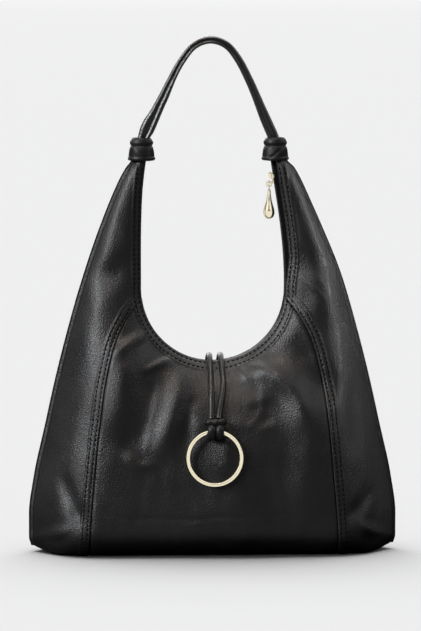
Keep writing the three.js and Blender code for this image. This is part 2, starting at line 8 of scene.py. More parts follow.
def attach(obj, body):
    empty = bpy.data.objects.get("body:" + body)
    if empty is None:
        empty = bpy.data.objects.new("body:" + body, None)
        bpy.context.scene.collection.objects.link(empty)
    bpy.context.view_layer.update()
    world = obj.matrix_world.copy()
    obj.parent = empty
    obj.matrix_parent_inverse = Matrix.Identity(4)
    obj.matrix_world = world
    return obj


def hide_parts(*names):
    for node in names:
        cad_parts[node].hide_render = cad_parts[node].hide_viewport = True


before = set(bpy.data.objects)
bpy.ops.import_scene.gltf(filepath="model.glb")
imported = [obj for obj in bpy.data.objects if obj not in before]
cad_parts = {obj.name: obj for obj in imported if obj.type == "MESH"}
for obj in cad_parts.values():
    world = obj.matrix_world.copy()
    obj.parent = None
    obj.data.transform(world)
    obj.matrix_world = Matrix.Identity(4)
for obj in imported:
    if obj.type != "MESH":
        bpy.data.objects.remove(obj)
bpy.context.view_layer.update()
MM = 0.001

# Body, in millimetres: the same sizes as the part's source
WALL = 2.0
GAP = 0.15
BOTTOM_RADIUS = 30
SIDE_POWER = 3.5
WING_TOP_Z = 397
RIM_RADIUS = 72
RIM_X = 1.2
RIM_Z = 265
RIGHT_OUT = 4.5
TAPE_TOP_Z = 387
KNOT_Z = 389
KNOT_X = 66.7
LACE_RADIUS = 2.9
HINGE = np.array([0.6, -66.957, 127.4])
RING_RADIUS, RING_WIRE, RING_TILT, RING_X = 26.35, 2.15, 3.6, -0.8
SEAT = np.array([63.288, 0.0, 374.0])
SLANT = -0.1507
LINK = np.array([57.462, 0.0, 368.069])
PULL = np.array([57.462, 0.0, 362.219])
# Half width of the mouth, low and high, and the heights between which it narrows
MOUTH_LOW, MOUTH_HIGH, MOUTH_NARROWS = 16.0, 5.0, (193, 386)
# Heights between which the right leg of the rim comes to stand out, and the rim's middle to x = 0
LEG_BARES, RIM_CENTRES = (262, 300), (300, 370)
# How far a leg of the rim leans in at a height above the rim's centre
LEG_IN, LEG_IN_AT = 9, 122
# Rise of the base's ends, the widths between which it grows, and the height at which it is gone
LIFT, LIFT_GROWS, LIFT_GONE = 6.5, (148, 183), 70
# Rounding of the side edges: share of the depth, least width, and share of a panel's width at most
ROUND_SHARE, ROUND_LEAST, ROUND_MOST = 0.72, 1.5, 0.6
# Distances from the rim between which the folds grow
FOLDS_GROW = (2, 26)
# Points on each stretch of a fold's line and of a path
FOLD_STEPS, PATH_STEPS = 5, 24
# The knot's table is squeezed a little below its top
KNOT_TOP, KNOT_SQUEEZE = 25.4, 0.89
# Zip teeth: along the zip, into the mouth, up, and from one to the next
TOOTH, TOOTH_PITCH = (1.1, 1.5, 2.2), 1.9

# Sections from the floor up: z, half width, half depth, distance from the rim to the full depth
SECTIONS = [
    (0, 181, 62, 80), (10, 183.2, 62, 80), (36, 183.2, 62, 80), (76, 178.2, 61, 80),
    (126, 167.2, 57, 78), (176, 156, 47.5, 72), (226, 143.2, 34, 58), (276, 128.6, 22.5, 38),
    (326, 110, 15.5, 23), (371, 90, 11.4, 13), (385, 82, 10.2, 11), (391, 77.4, 9.2, 10),
    (397, 75, 8.6, 9),
]
# How much further the right outline stands out: z, x
RIGHT_WIDER = [(0, 2), (340, 2), (378, 3.4), (385, 3.6), (391, 1.8), (397, 0)]
# Seam between the middle panel and the side panels: z, x
SEAM = [
    (0, 125), (48, 122), (104, 117), (140, 113), (166, 109.5), (191, 104.5), (215, 97.5),
    (238, 85.5), (256, 71.4),
]
SEAM_TOP_Z, SEAM_TOP_X = SEAM[-1]
# Lean of the wings: z, x
LEAN = [(0, 0), (270, 0), (326, -1.5), (390, -3.1), (430, -3.0), (470, -1.5), (514, -0.7)]
# Folds of the front: width, height, then the points x, z that the fold runs through
FRONT_FOLDS = [
    (11, 4.6, (-29, 196), (-36, 165), (-44, 134), (-62, 90)),
    (19, -5.0, (-50, 197), (-62, 168), (-74, 142), (-88, 92)),
    (20, 5.0, (-86, 225), (-95, 110)), (9, -2.5, (-22, 165), (-31, 100)),
    (12, 7.0, (-10, 180), (14, 186), (34, 187), (54, 183), (72, 173), (84, 157), (87, 136), (79, 112)),
    (14, -5.0, (80, 222), (96, 195), (106, 172), (112, 145)),
    (30, -3.0, (70, 240), (106, 140)), (22, 6.0, (102, 182), (92, 24)), (9, 2.0, (11, 124), (11, 80)),
    (12, -2.0, (44, 158), (52, 128)), (40, 6.5, (22, 150), (18, -10)), (10, -4.0, (136, 182), (148, 90)),
    (8, -4.5, (-158, 97), (-126, 20)), (8, -4.5, (166, 74), (130, 32)), (5, 5.0, (-198, 2), (-138, 32)),
    (5, 5.0, (198, 1), (138, 35)), (14, -4.0, (-130, 268), (-62, 296)), (14, -4.0, (64, 300), (132, 282)),
    (14, 3.0, (92, 318), (122, 225)),
]
# Finer creases of the front, in the same form
FRONT_CREASES = [
    (6, 3.2, (-104, 198), (-62, 225)), (4, 2.2, (-74, 182), (-52, 192), (-34, 195)),
    (4, 0.6, (-50, 186), (-72, 92)), (5, 2.2, (-92, 110), (-76, 93), (-54, 94)),
    (4.5, 0.9, (46, 186), (48, 154), (43, 138), (31, 131), (13, 144)), (8, 1.5, (-24, 156), (-12, 122)),
    (5, 1.4, (18, 189), (46, 188), (67, 178), (82, 160)), (4, 1.0, (23, 191), (37, 172)),
    (2.5, 0.6, (82, 282), (108, 258)), (2.5, 0.7, (90, 276), (116, 250)), (2.5, 0.5, (94, 284), (112, 268)),
]
# Milder folds and creases of the back
BACK_FOLDS = [
    (24, -4.0, (-30, 205), (-62, 150), (-80, 80)), (22, 3.5, (-84, 215), (-98, 110)),
    (26, 4.0, (10, 185), (52, 160), (84, 110)), (20, -4.0, (48, 215), (88, 180), (112, 130)),
    (10, -4.0, (-158, 90), (-128, 22)), (10, -4.0, (164, 80), (130, 30)),
    (6, 4.5, (-198, 2), (-138, 33)), (6, 4.5, (198, 2), (138, 33)),
]
BACK_CREASES = [
    (6, 1.6, (-20, 180), (-52, 150), (-66, 96)), (5, 1.4, (40, 190), (70, 168), (92, 128)),
    (7, 1.5, (-104, 200), (-62, 222)), (5, 1.0, (96, 214), (70, 196), (52, 188)),
]
# Strap from its top down to a knot: z, half span, outer roll, inner roll, half depth
STRAP = [
    (511.5, 0, 4.0, 3.8, 4.2), (506, 16.2, 4.0, 3.8, 4.2), (491, 28.5, 4.1, 3.8, 4.2),
    (471, 39.2, 4.4, 3.7, 4.1), (451, 48.6, 5.2, 3.6, 4.0), (431, 57.6, 7.0, 3.6, 3.8),
    (417, 63.8, 7.4, 3.6, 3.6), (412, 65.6, 6.4, 4.6, 3.6), (406.5, 66.4, 5.8, 5.2, 3.6),
]
# Knot, from the rolled lower rim up and down into the strap's socket: radius, z
KNOT = [
    (10.2, 5.0), (11.2, 1.6), (11.9, 0.3), (12.4, 0.0), (13.4, 0.8), (13.7, 2.2), (13.3, 3.6),
    (12.9, 4.6), (12.8, 6.5), (12.5, 9.5), (12.0, 12.5), (11.2, 15.0), (10.5, 16.4), (11.1, 18.0),
    (11.3, 20.0), (10.4, 23.0), (9.3, 25.0), (8.7, 25.4), (8.2, 24.6), (7.3, 21.0), (7.1, 17.0),
]
# Teardrop below its eye: radius, z
DROP = [
    (0, 0.4), (0.9, 0.2), (1.5, -1.0), (1.9, -5.0), (2.8, -11.0), (4.3, -16.5), (5.4, -21.0),
    (5.3, -24.5), (3.9, -27.6), (1.8, -29.0), (0, -29.4),
]
FRONT = {"sign": -1, "drop": 0, "out": RIGHT_OUT, "folds": FRONT_FOLDS, "creases": FRONT_CREASES}
BACK = {"sign": 1, "drop": 2.5, "out": 0, "folds": BACK_FOLDS, "creases": BACK_CREASES}


def ease(a, b, value):
    t = np.clip((np.asarray(value, float) - a) / (b - a), 0, 1)
    return t * t * (3 - 2 * t)


def mix(a, b, t):
    return a + (b - a) * t


def column(rows, key):
    """Smooth curve through one column of a table over its first column."""
    at = np.array([row[0] for row in rows], float)
    val = np.array([row[key] for row in rows], float)
    steps = np.diff(val) / np.diff(at)
    before = np.concatenate([steps[:1], steps])
    after = np.concatenate([steps, steps[-1:]])
    same = before * after > 0
    slopes = np.where(same, 2 * before * after / np.where(same, before + after, 1), 0)

    def curve(where):
        where = np.asarray(where, float)
        i = np.clip(np.searchsorted(at, where) - 1, 0, len(at) - 2)
        span = at[i + 1] - at[i]
        t = np.clip((where - at[i]) / span, 0, 1)
        hermite = val[i] * (1 + 2 * t) * (1 - t) ** 2 + val[i + 1] * t * t * (3 - 2 * t)
        return hermite + span * t * (1 - t) * (slopes[i] * (1 - t) - slopes[i + 1] * t)

    return curve


left_outline = column(SECTIONS, 1)
right_wider = column(RIGHT_WIDER, 1)
full_depth = column(SECTIONS, 2)
shoulder = column(SECTIONS, 3)
seam_half = column(SEAM, 1)
lean = column(LEAN, 1)


def outline_half(z, hand):
    return left_outline(z) + right_wider(z) * (np.asarray(hand) > 0)


def mouth_half(z):
    return mix(MOUTH_LOW, MOUTH_HIGH, ease(*MOUTH_NARROWS, z))


def bared(face, z, hand):
    """How much further out the right leg of a rim stands than the zip along it."""
    return face["out"] * ease(*LEG_BARES, z) * (np.asarray(hand) > 0)


def rim(face, z, hand=1):
    """Rim of one face at a height: middle, radius, height of its centre, half width to one hand."""
    z = np.asarray(z, float)
    centre = RIM_Z - face["drop"]
    drop = np.clip(centre - z, 0, RIM_RADIUS)
    leg = RIM_RADIUS - LEG_IN * (np.maximum(z - RIM_Z, 0) / LEG_IN_AT) ** 2 + bared(face, z, hand)
    half = np.where(z < centre, np.sqrt(RIM_RADIUS ** 2 - drop ** 2), leg)
    return RIM_X * (1 - ease(*RIM_CENTRES, z)), RIM_RADIUS, centre, half


def distance_to_rim(face, x, z):
    middle, radius, centre, half = rim(face, z, np.sign(x))
    low = np.hypot(x - middle, z - centre) - radius
    return np.where(np.asarray(z) < centre, low, np.abs(x - middle) - half)


def smooth_line(points, steps):
    """Smooth line through the given points, with some steps on each stretch."""
    points = np.asarray(points, float)
    ends = np.concatenate([[2 * points[0] - points[1]], points, [2 * points[-1] - points[-2]]])
    t = np.linspace(0, 1, steps, endpoint=False)[:, None]
    stretches = [0.5 * (2 * b + (c - a) * t + (2 * a - 5 * b + 4 * c - d) * t ** 2
                        + (3 * b - a - 3 * c + d) * t ** 3)
                 for a, b, c, d in zip(ends, ends[1:], ends[2:], ends[3:])]
    return np.concatenate(stretches + [points[-1:]])


def fold_height(folds, x, z):
    """Ridges and valleys along lines, each fading out towards both of its ends."""
    total = np.zeros(np.broadcast(x, z).shape)
    for width, height, *line in folds:
        line = smooth_line(line, FOLD_STEPS) if len(line) > 2 else line
        lengths = [math.dist(a, b) for a, b in zip(line, line[1:])]
        away, done = np.full(total.shape, np.inf), np.zeros(total.shape)
        for k, ((x0, z0), (x1, z1)) in enumerate(zip(line, line[1:])):
            dx, dz = x1 - x0, z1 - z0
            along = np.clip(((x - x0) * dx + (z - z0) * dz) / (dx * dx + dz * dz), 0, 1)
            apart = np.hypot(x - x0 - dx * along, z - z0 - dz * along)
            done = np.where(apart < away, (sum(lengths[:k]) + along * lengths[k]) / sum(lengths), done)
            away = np.minimum(away, apart)
        swell = ease(0, 0.35, done) * ease(1, 0.65, done)
        total = total + height * swell * np.exp(-(away / width) ** 2)
    return total


def depth_at(face, x, z):
    turn = np.minimum(z, BOTTOM_RADIUS) - BOTTOM_RADIUS
    inset = BOTTOM_RADIUS - np.sqrt(np.maximum(BOTTOM_RADIUS ** 2 - turn ** 2, 0))
    full = full_depth(z) - inset
    outer = outline_half(z, np.sign(x))
    slope = np.minimum(ROUND_SHARE * full + ROUND_LEAST, ROUND_MOST * (outer - rim(face, z, np.sign(x))[3]))
    u = np.maximum(outer - np.abs(x), 0) / slope
    side = u / (1 + u ** SIDE_POWER) ** (1 / SIDE_POWER)
    distance = distance_to_rim(face, x, z)
    near = np.clip(distance / shoulder(z), 0, 1)
    rise = 1 - (1 - near) ** 3
    depth = mix(mouth_half(z), full, rise) + fold_height(face["folds"], x, z) * ease(*FOLDS_GROW, distance)
    return np.maximum(side * depth, GAP)


def end_lift(x, z):
    return LIFT * ease(*LIFT_GROWS, np.abs(x)) ** 1.5 * (1 - np.clip(np.asarray(z) / LIFT_GONE, 0, 1)) ** 2


def body_point(face, x, z):
    x, z = np.broadcast_arrays(np.asarray(x, float), np.asarray(z, float))
    return np.stack([x + lean(z), face["sign"] * depth_at(face, x, z), z + end_lift(x, z)], -1)


def unit(vectors):
    return vectors / np.maximum(np.linalg.norm(vectors, axis=-1, keepdims=True), 1e-9)


def body_normal(face, x, z, step=0.05):
    dx = body_point(face, x + step, z) - body_point(face, x - step, z)
    dz = body_point(face, x, z + step) - body_point(face, x, np.maximum(z - step, 0))
    n = unit(np.cross(dx, dz))
    return n * np.where(n[..., 1:2] * face["sign"] < 0, -1, 1)


# Hems: distances of the two stitch rows from an edge, their dent and its half width
ROWS, ROW_DENT, ROW_WIDTH = (2.8, 7.4), 0.35, 0.9
# Turned leather at an edge: how much thicker, the distances between which it ends, its rounded edge
HEM, HEM_ENDS, HEM_ROUND = 0.75, (8.6, 10.6), 1.2
# Seam: lap of the side panels over the middle, and the middle's dip under it, half width, edge and limit
LAP = 0.4
SEAM_DIP, SEAM_DIP_WIDTH, SEAM_ROUND, SEAM_DEEPEST = 0.9, 2.2, 1.0, -1.8
# Groove along the side edges: depth, distance from the outline, half width, heights between which it ends
GROOVE, GROOVE_AT, GROOVE_WIDTH, GROOVE_ENDS = 1.1, 3.0, 0.8, (388, 376)
# Slack of the leather: heights and scales of its wide and its fine waves
WIDE_SLACK, WIDE_SCALE, FINE_SLACK, FINE_SCALE = 0.9, 34, 0.45, 14
# Distances from the rim, the outline and the floor, and from the ring, between which the slack grows
SLACK_RIM, SLACK_SIDE, SLACK_LOW, SLACK_RING = (4, 22), (6, 30), (4, 16), (14, 34)
# Crease across the bottom: height, depth and half width of its two lines, share of it on the back
LOW_CREASE_Z, LOW_CREASE, LOW_CREASE_WIDTH = 41, (0.5, 0.15), (3.2, 1.6)
LOW_CREASE_ENDS, LOW_CREASE_BACK = (120, 60), 0.6
# Distances from the rim between which the creases grow
CREASES_GROW = (2, 12)


def edge_band(d):
    """Turned leather along an edge: thicker for 9 mm, dented where the two rows are sewn."""
    band = HEM * (1 - ease(*HEM_ENDS, d))
    for row in ROWS:
        band = band - ROW_DENT * np.exp(-((d - row) / ROW_WIDTH) ** 2)
    return band - rolled(d, HEM_ROUND)


def rolled(d, radius):
    t = np.clip(1 - d / radius, 0, 1)
    return radius * (1 - np.sqrt(np.maximum(1 - t * t, 0)))


def side_edge(face, hand, z):
    """Inner edge of a side panel: the seam, then the rim."""
    middle, _, _, half = rim(face, z, hand)
    top_middle, _, _, top_half = rim(face, SEAM_TOP_Z, hand)
    shifted = top_half + hand * top_middle - SEAM_TOP_X
    seam = seam_half(z) - LAP + shifted * np.asarray(z, float) / SEAM_TOP_Z
    return np.where(np.asarray(z) < SEAM_TOP_Z, seam, half + hand * middle)


def side_edge_distance(face, hand, x, z):
    slope = (side_edge(face, hand, z + 1.0) - side_edge(face, hand, np.maximum(z - 1.0, 0))) / 2
    return (np.abs(x) - side_edge(face, hand, z)) / np.sqrt(1 + slope ** 2)


def wander(x, z, scale, seed):
    """Soft irregular field between about -1 and 1."""
    flat = np.stack(np.broadcast_arrays(np.asarray(x, float) / scale, np.asarray(z, float) / scale), -1)
    values = [noise.noise(Vector((a, b, seed))) for a, b in flat.reshape(-1, 2)]
    return np.array(values).reshape(flat.shape[:-1])


def drape(face, x, z):
    """Small slack of the leather over the shape of the part."""
    d = distance_to_rim(face, x, z)
    aside = outline_half(z, np.sign(x)) - np.abs(x)
    free = ease(*SLACK_RIM, d) * ease(*SLACK_SIDE, aside) * ease(*SLACK_LOW, z)
    if face["sign"] < 0:
        free = free * mix(0.25, 1, ease(*SLACK_RING, np.hypot(x - 2, np.minimum(z - 150, 0))))
    soft = WIDE_SLACK * wander(x, z * 0.6, WIDE_SCALE, 3.0 + face["sign"])
    soft = soft + FINE_SLACK * wander(x * 1.2, z * 0.7, FINE_SCALE, 7.5)
    line = LOW_CREASE_Z + 1.6 * np.sin(x / 27) + 0.8 * np.sin(x / 9.5 + 1)
    crack = -LOW_CREASE[0] * np.exp(-((z - line) / LOW_CREASE_WIDTH[0]) ** 2)
    crack = crack - LOW_CREASE[1] * np.exp(-((z - line + 8) / LOW_CREASE_WIDTH[1]) ** 2)
    crack = crack * ease(*LOW_CREASE_ENDS, np.abs(x)) * (1 if face["sign"] < 0 else LOW_CREASE_BACK)
    return soft * free + crack + fold_height(face["creases"], x, z) * ease(*CREASES_GROW, d)


def middle_relief(face, x, z):
    seam = seam_half(z) - GAP - np.abs(x)
    dip = -SEAM_DIP * np.exp(-(seam / SEAM_DIP_WIDTH) ** 2) - rolled(seam, SEAM_ROUND)
    return np.maximum(edge_band(distance_to_rim(face, x, z)) + dip, SEAM_DEEPEST) + drape(face, x, z)


def side_relief(face, hand, x, z):
    d = side_edge_distance(face, hand, x, z)
    outer = depth_at(face, x, z)
    aside = outline_half(z, hand) - np.abs(x) - GROOVE_AT
    groove = -GROOVE * np.exp(-(aside / GROOVE_WIDTH) ** 2) * ease(*GROOVE_ENDS, z)
    return edge_band(d) + drape(face, x, z) - 0.5 * rolled(outer, 1.6) + groove


# Mesh making


def placed(name, data):
    made = bpy.data.objects.new(name, data)
    bpy.context.scene.collection.objects.link(made)
    return made


class Parts:
    """Points and faces that are gathered and become one object."""

    def __init__(self):
        self.points, self.faces, self.slots, self.count = [], [], [], 0

    def add(self, points, faces, slot=0):
        points = np.asarray(points, float).reshape(-1, 3)
        faces = [[k + self.count for k in face] for face in np.asarray(faces).tolist()]
        self.points.append(points)
        self.faces += faces
        self.slots += [slot] * len(faces)
        self.count += len(points)

    def make(self, name, *materials):
        mesh = bpy.data.meshes.new(name)
        mesh.from_pydata((np.concatenate(self.points) * MM).tolist(), [], self.faces)
        for material in materials:
            mesh.materials.append(material)
        mesh.polygons.foreach_set("use_smooth", [True] * len(self.faces))
        mesh.polygons.foreach_set("material_index", self.slots)
        mesh.update()
        return placed(name, mesh)


def grid_faces(rows, cols, wrap=False):
    i, j = np.meshgrid(np.arange(rows - 1), np.arange(cols if wrap else cols - 1), indexing="ij")
    k = (j + 1) % cols
    return np.stack([i * cols + j, i * cols + k, (i + 1) * cols + k, (i + 1) * cols + j], -1).reshape(-1, 4)


def grid_normals(grid):
    return unit(np.cross(np.gradient(grid, axis=1), np.gradient(grid, axis=0)))


def sheet(parts, base, relief, thin=3, least=0.4):
    """Leather sheet: a fine outside with relief, its cut edges, and a plainer inside, at least so thick."""
    rows, cols = base.shape[:2]
    normal = grid_normals(base)
    outer = base + normal * relief[..., None]
    inner = base - normal * np.maximum(WALL, least - relief)[..., None]
    parts.add(outer, grid_faces(rows, cols))
    ring = [(0, j) for j in range(cols)] + [(i, cols - 1) for i in range(1, rows)]
    ring += [(rows - 1, j) for j in range(cols - 2, -1, -1)] + [(i, 0) for i in range(rows - 2, 0, -1)]
    at = tuple(np.array(ring).T)
    parts.add(np.stack([inner[at], outer[at]]), grid_faces(2, len(ring), True))
    keep_i = sorted(set(range(0, rows, thin)) | {rows - 1})
    keep_j = sorted(set(range(0, cols, thin)) | {cols - 1})
    coarse = inner[np.ix_(keep_i, keep_j)]
    parts.add(coarse, grid_faces(len(keep_i), len(keep_j))[:, ::-1], 1)


def tube_rings(path, radius, sides, closed=False, flat=1.0):
    """Rings of a round section carried along a path without twisting."""
    path = np.asarray(path, float)
    if closed:
        tangent = unit(np.roll(path, -1, 0) - np.roll(path, 1, 0))
    else:
        tangent = unit(np.gradient(path, axis=0))
    side = np.cross(tangent[0], (0.0, 0.0, 1.0))
    side = unit(side if np.linalg.norm(side) > 0.1 else np.cross(tangent[0], (1.0, 0.0, 0.0)))
    radius = np.broadcast_to(np.asarray(radius, float), (len(path),))
    angle = np.linspace(0, 2 * math.pi, sides, endpoint=False)
    rings = []
    for p, t, r in zip(path, tangent, radius):
        side = unit(side - t * np.dot(side, t))
        other = np.cross(t, side)
        rings.append(p + r * (np.cos(angle)[:, None] * side + flat * np.sin(angle)[:, None] * other))
    return np.array(rings)


def close_ends(parts, rings, slot=0):
    """Fans of triangles over the first and the last ring of a tube."""
    sides = rings.shape[1]
    for end, turn in ((rings[0], -1), (rings[-1], 1)):
        fan = [[j, (j + 1) % sides, sides][::turn] for j in range(sides)]
        parts.add(np.concatenate([end, end.mean(0, keepdims=True)]), fan, slot)


def tube(parts, path, radius, sides=12, closed=False, slot=0, flat=1.0):
    rings = tube_rings(path, radius, sides, closed, flat)
    if closed:
        rings = np.concatenate([rings, rings[:1]])
    parts.add(rings, grid_faces(len(rings), sides, True), slot)
    if not closed:
        close_ends(parts, rings, slot)


def run_along(line):
    """Way from the start of a line to each of its points."""
    return np.concatenate([[0], np.cumsum(np.linalg.norm(np.diff(line, axis=0), axis=1))])


def values_at(values, run, at):
    return np.stack([np.interp(at, run, values[:, k]) for k in range(3)], -1)


def smooth_path(points, count):
    """Points spread evenly along a smooth line through the given points."""
    line = smooth_line(points, PATH_STEPS)
    run = run_along(line)
    return values_at(line, run, np.linspace(0, run[-1], count))


def turned(parts, rows, sides, origin, steps=8):
    """Round piece about Z through a table of radii and heights."""
    profile = smooth_path([(r, z, 0) for r, z in rows], len(rows) * steps)
    angle = np.linspace(0, 2 * math.pi, sides, endpoint=False)
    r, z = np.maximum(profile[:, :1], 0), profile[:, 1:2]
    grid = np.stack([r * np.cos(angle), r * np.sin(angle), z + 0 * angle], -1)
    parts.add(grid + origin, grid_faces(len(grid), sides, True)[:, ::-1])


def stitches(parts, line, normal, pitch=4.7, length=3.3, thick=0.7):
    """Row of short threads that dip into the leather at both ends."""
    run = run_along(line)
    count = int(run[-1] // pitch)
    t = np.linspace(-1, 1, 6)
    for k in range(count):
        at = (k + 0.5) * run[-1] / count + t * length / 2
        out = values_at(normal, run, at[2])
        path = values_at(line, run, at) + out * (0.5 * (1 - t ** 4) - 0.45)[:, None]
        tube(parts, path, thick * np.sqrt(1.02 - 0.5 * t ** 2), 6)


def boxed(parts, size, centre, bevel, turn, origin, slot=0, n=9):
    """Box with rounded corners, a grid of points on each side."""
    half = np.asarray(size) / 2
    core = half - bevel
    a, b = np.meshgrid(np.linspace(-1, 1, n), np.linspace(-1, 1, n), indexing="ij")
    faces = grid_faces(n, n)
    for axis in range(3):
        for side in (-1, 1):
            cube = np.roll(np.stack([np.full_like(a, side), a, b], -1), axis, -1)
            reach = np.abs(cube) * half
            edge = np.sign(cube) * np.clip(reach - core, 0, None)
            points = np.sign(cube) * np.minimum(reach, core) + unit(edge + 1e-12) * bevel
            points = (points + np.asarray(centre)) @ np.array(turn).T + np.asarray(origin)
            parts.add(points, faces if side > 0 else faces[:, ::-1], slot)


# Materials


def node_material(name):
    material = bpy.data.materials.new(name)
    material.use_nodes = True
    nodes, links = material.node_tree.nodes, material.node_tree.links
    return material, nodes, links, nodes["Principled BSDF"]


def texture(nodes, links, kind, scale, source, **values):
    node = nodes.new(kind)
    for key, value in {"Scale": scale, **values}.items():
        node.inputs[key].default_value = value
    links.new(source, node.inputs["Vector"])
    return node


def spanned(nodes, links, source, low, high, start, end):
    node = nodes.new("ShaderNodeMapRange")
    node.inputs["From Min"].default_value = start
    node.inputs["From Max"].default_value = end
    node.inputs["To Min"].default_value = low
    node.inputs["To Max"].default_value = high
    links.new(source, node.inputs["Value"])
    return node.outputs["Result"]


def bump(nodes, links, height, distance, strength, normal=None):
    node = nodes.new("ShaderNodeBump")
    node.inputs["Distance"].default_value = distance
    node.inputs["Strength"].default_value = strength
    links.new(height, node.inputs["Height"])
    if normal is not None:
        links.new(normal, node.inputs["Normal"])
    return node.outputs["Normal"]


def blend_colour(nodes, links, factor, first, second):
    node = nodes.new("ShaderNodeMix")
    node.data_type = "RGBA"
    node.inputs[6].default_value = (*first, 1)
    node.inputs[7].default_value = (*second, 1)
    links.new(factor, node.inputs[0])
    return node.outputs[2]


def leather_material(name, dark=(0.004, 0.004, 0.004), worn=(0.0075, 0.007, 0.007), rough=(0.34, 0.44),
                     grain=1.0, level=0.35):
    material, nodes, links, shader = node_material(name)
    place = nodes.new("ShaderNodeTexCoord").outputs["Object"]
    patches = texture(nodes, links, "ShaderNodeTexNoise", 26, place, Detail=4.0)
    pebble = texture(nodes, links, "ShaderNodeTexVoronoi", 820, place, Randomness=1.0)
    wrinkle = texture(nodes, links, "ShaderNodeTexNoise", 150, place, Detail=5.0, Distortion=1.2)
    pores = texture(nodes, links, "ShaderNodeTexNoise", 2300, place, Detail=2.0)
    grains = texture(nodes, links, "ShaderNodeTexNoise", 900, place, Detail=2.0)
    links.new(blend_colour(nodes, links, patches.outputs["Fac"], dark, worn), shader.inputs["Base Color"])
    links.new(spanned(nodes, links, patches.outputs["Fac"], *rough, 0.3, 0.7), shader.inputs["Roughness"])
    shader.inputs["Specular IOR Level"].default_value = level
    shader.inputs["Coat Weight"].default_value = 0.04
    shader.inputs["Coat Roughness"].default_value = 0.22
    normal = bump(nodes, links, wrinkle.outputs["Fac"], 0.0004, 0.22 * grain)
    normal = bump(nodes, links, pebble.outputs["Distance"], 0.0003, 0.9 * grain, normal)
    normal = bump(nodes, links, pores.outputs["Fac"], 0.0001, 0.3 * grain, normal)
    normal = bump(nodes, links, grains.outputs["Fac"], 0.0004, 0.35 * grain, normal)
    links.new(normal, shader.inputs["Normal"])
    return material


def plain_material(name, colour, rough, scale, distance, metal=0.0, vary=0.06, level=0.5, edge=(1, 1, 1)):
    material, nodes, links, shader = node_material(name)
    place = nodes.new("ShaderNodeTexCoord").outputs["Object"]
    marks = texture(nodes, links, "ShaderNodeTexNoise", scale, place, Detail=4.0)
    lighter = tuple(min(1.0, c * 1.25) for c in colour)
    links.new(blend_colour(nodes, links, marks.outputs["Fac"], colour, lighter), shader.inputs["Base Color"])
    low, high = max(rough - vary, 0.02), rough + vary
    links.new(spanned(nodes, links, marks.outputs["Fac"], low, high, 0.3, 0.7), shader.inputs["Roughness"])
    shader.inputs["Metallic"].default_value = metal
    # Edge colour tints the metal's grazing reflections; a dark one is a painted dark reflection along the
    # metal's edges
    shader.inputs["Specular Tint"].default_value = (*edge, 1)
    shader.inputs["Specular IOR Level"].default_value = level
    links.new(bump(nodes, links, marks.outputs["Fac"], distance, 0.4), shader.inputs["Normal"])
    return material


def weave_material(name, colour):
    material, nodes, links, shader = node_material(name)
    place = nodes.new("ShaderNodeTexCoord").outputs["Object"]
    weave = texture(nodes, links, "ShaderNodeTexVoronoi", 1500, place, Randomness=0.25)
    tone = spanned(nodes, links, weave.outputs["Distance"], 0.0, 1.0, 0.0, 0.7)
    lighter = tuple(c * 2.2 for c in colour)
    links.new(blend_colour(nodes, links, tone, lighter, colour), shader.inputs["Base Color"])
    shader.inputs["Roughness"].default_value = 0.8
    shader.inputs["Specular IOR Level"].default_value = 0.06
    links.new(bump(nodes, links, weave.outputs["Distance"], 0.0004, 0.7), shader.inputs["Normal"])
    return material


leather = leather_material("black_leather")
strap_leather = leather_material("strap_leather", rough=(0.28, 0.38), grain=0.7, level=0.75)
knot_leather = leather_material("knot_leather", rough=(0.38, 0.46), grain=0.8, level=0.2)
lace_leather = leather_material("lace_leather", rough=(0.26, 0.34), grain=0.5, level=0.38)
lining = plain_material("lining", (0.008, 0.0075, 0.007), 0.8, 900, 0.0003, level=0.2)
thread = plain_material("black_thread", (0.005, 0.005, 0.005), 0.9, 2400, 0.0002, level=0.0)
# Pale gold with a near-black edge tint: painted dark reflection along the edges of ring, slider and pull,
# standing in for dark surroundings mirrored in them
gold = plain_material("pale_gold", (0.97, 0.80, 0.60), 0.16, 420, 0.000003, metal=1.0, vary=0.04,
                      edge=(0.1, 0.05, 0.02))
tape_cloth = weave_material("zip_tape", (0.0015, 0.0015, 0.0015))
teeth_metal = plain_material("zip_teeth", (0.015, 0.015, 0.015), 0.4, 1200, 0.00005, level=0.4)

# Camera: a little to the left of the front and a little above, long lens
CAMERA_AZIMUTH, CAMERA_ELEVATION, CAMERA_DISTANCE = math.radians(-3), math.radians(5), 4.0
SENSOR_HEIGHT, VIEW_HEIGHT = 24, 0.631
camera_data = bpy.data.cameras.new("camera")
camera_data.sensor_fit = "VERTICAL"
camera_data.sensor_height = SENSOR_HEIGHT
camera_data.lens = SENSOR_HEIGHT * CAMERA_DISTANCE / VIEW_HEIGHT
camera_data.clip_end = 300
camera = placed("camera", camera_data)
aim = Vector((-0.001, 0, 0.2364))
back = Vector((math.sin(CAMERA_AZIMUTH) * math.cos(CAMERA_ELEVATION),
               -math.cos(CAMERA_AZIMUTH) * math.cos(CAMERA_ELEVATION), math.sin(CAMERA_ELEVATION)))
camera.location = aim + back * CAMERA_DISTANCE
camera.rotation_euler = back.to_track_quat("Z", "Y").to_euler()
bpy.context.scene.camera = camera


# Ring on its lace


def off_front(x, z, off):
    return body_point(FRONT, x, z) + body_normal(FRONT, x, z) * off


def lace_path(xs):
    top = xs[0]
    rim_z = RIM_Z - math.sqrt(RIM_RADIUS ** 2 - (top - RIM_X) ** 2)
    return smooth_path([
        (top - 1, 8.6, rim_z - 19), (top - 1, 8.0, rim_z - 10), (top - 0.6, 4.6, rim_z - 1.8),
        (top - 0.3, -2.4, rim_z + 2.9), (top, -11, rim_z + 4.5), (top, -18.8, rim_z + 2.7),
        off_front(mix(xs[0], xs[1], 0.6), 182, LACE_RADIUS + 0.8), off_front(xs[1], 173, LACE_RADIUS + 0.7),
        off_front(xs[2], 161, LACE_RADIUS + 0.7), off_front(xs[3], 149, LACE_RADIUS + 1.2),
        off_front(xs[4], 137, LACE_RADIUS + 3.0),
    ], 40)


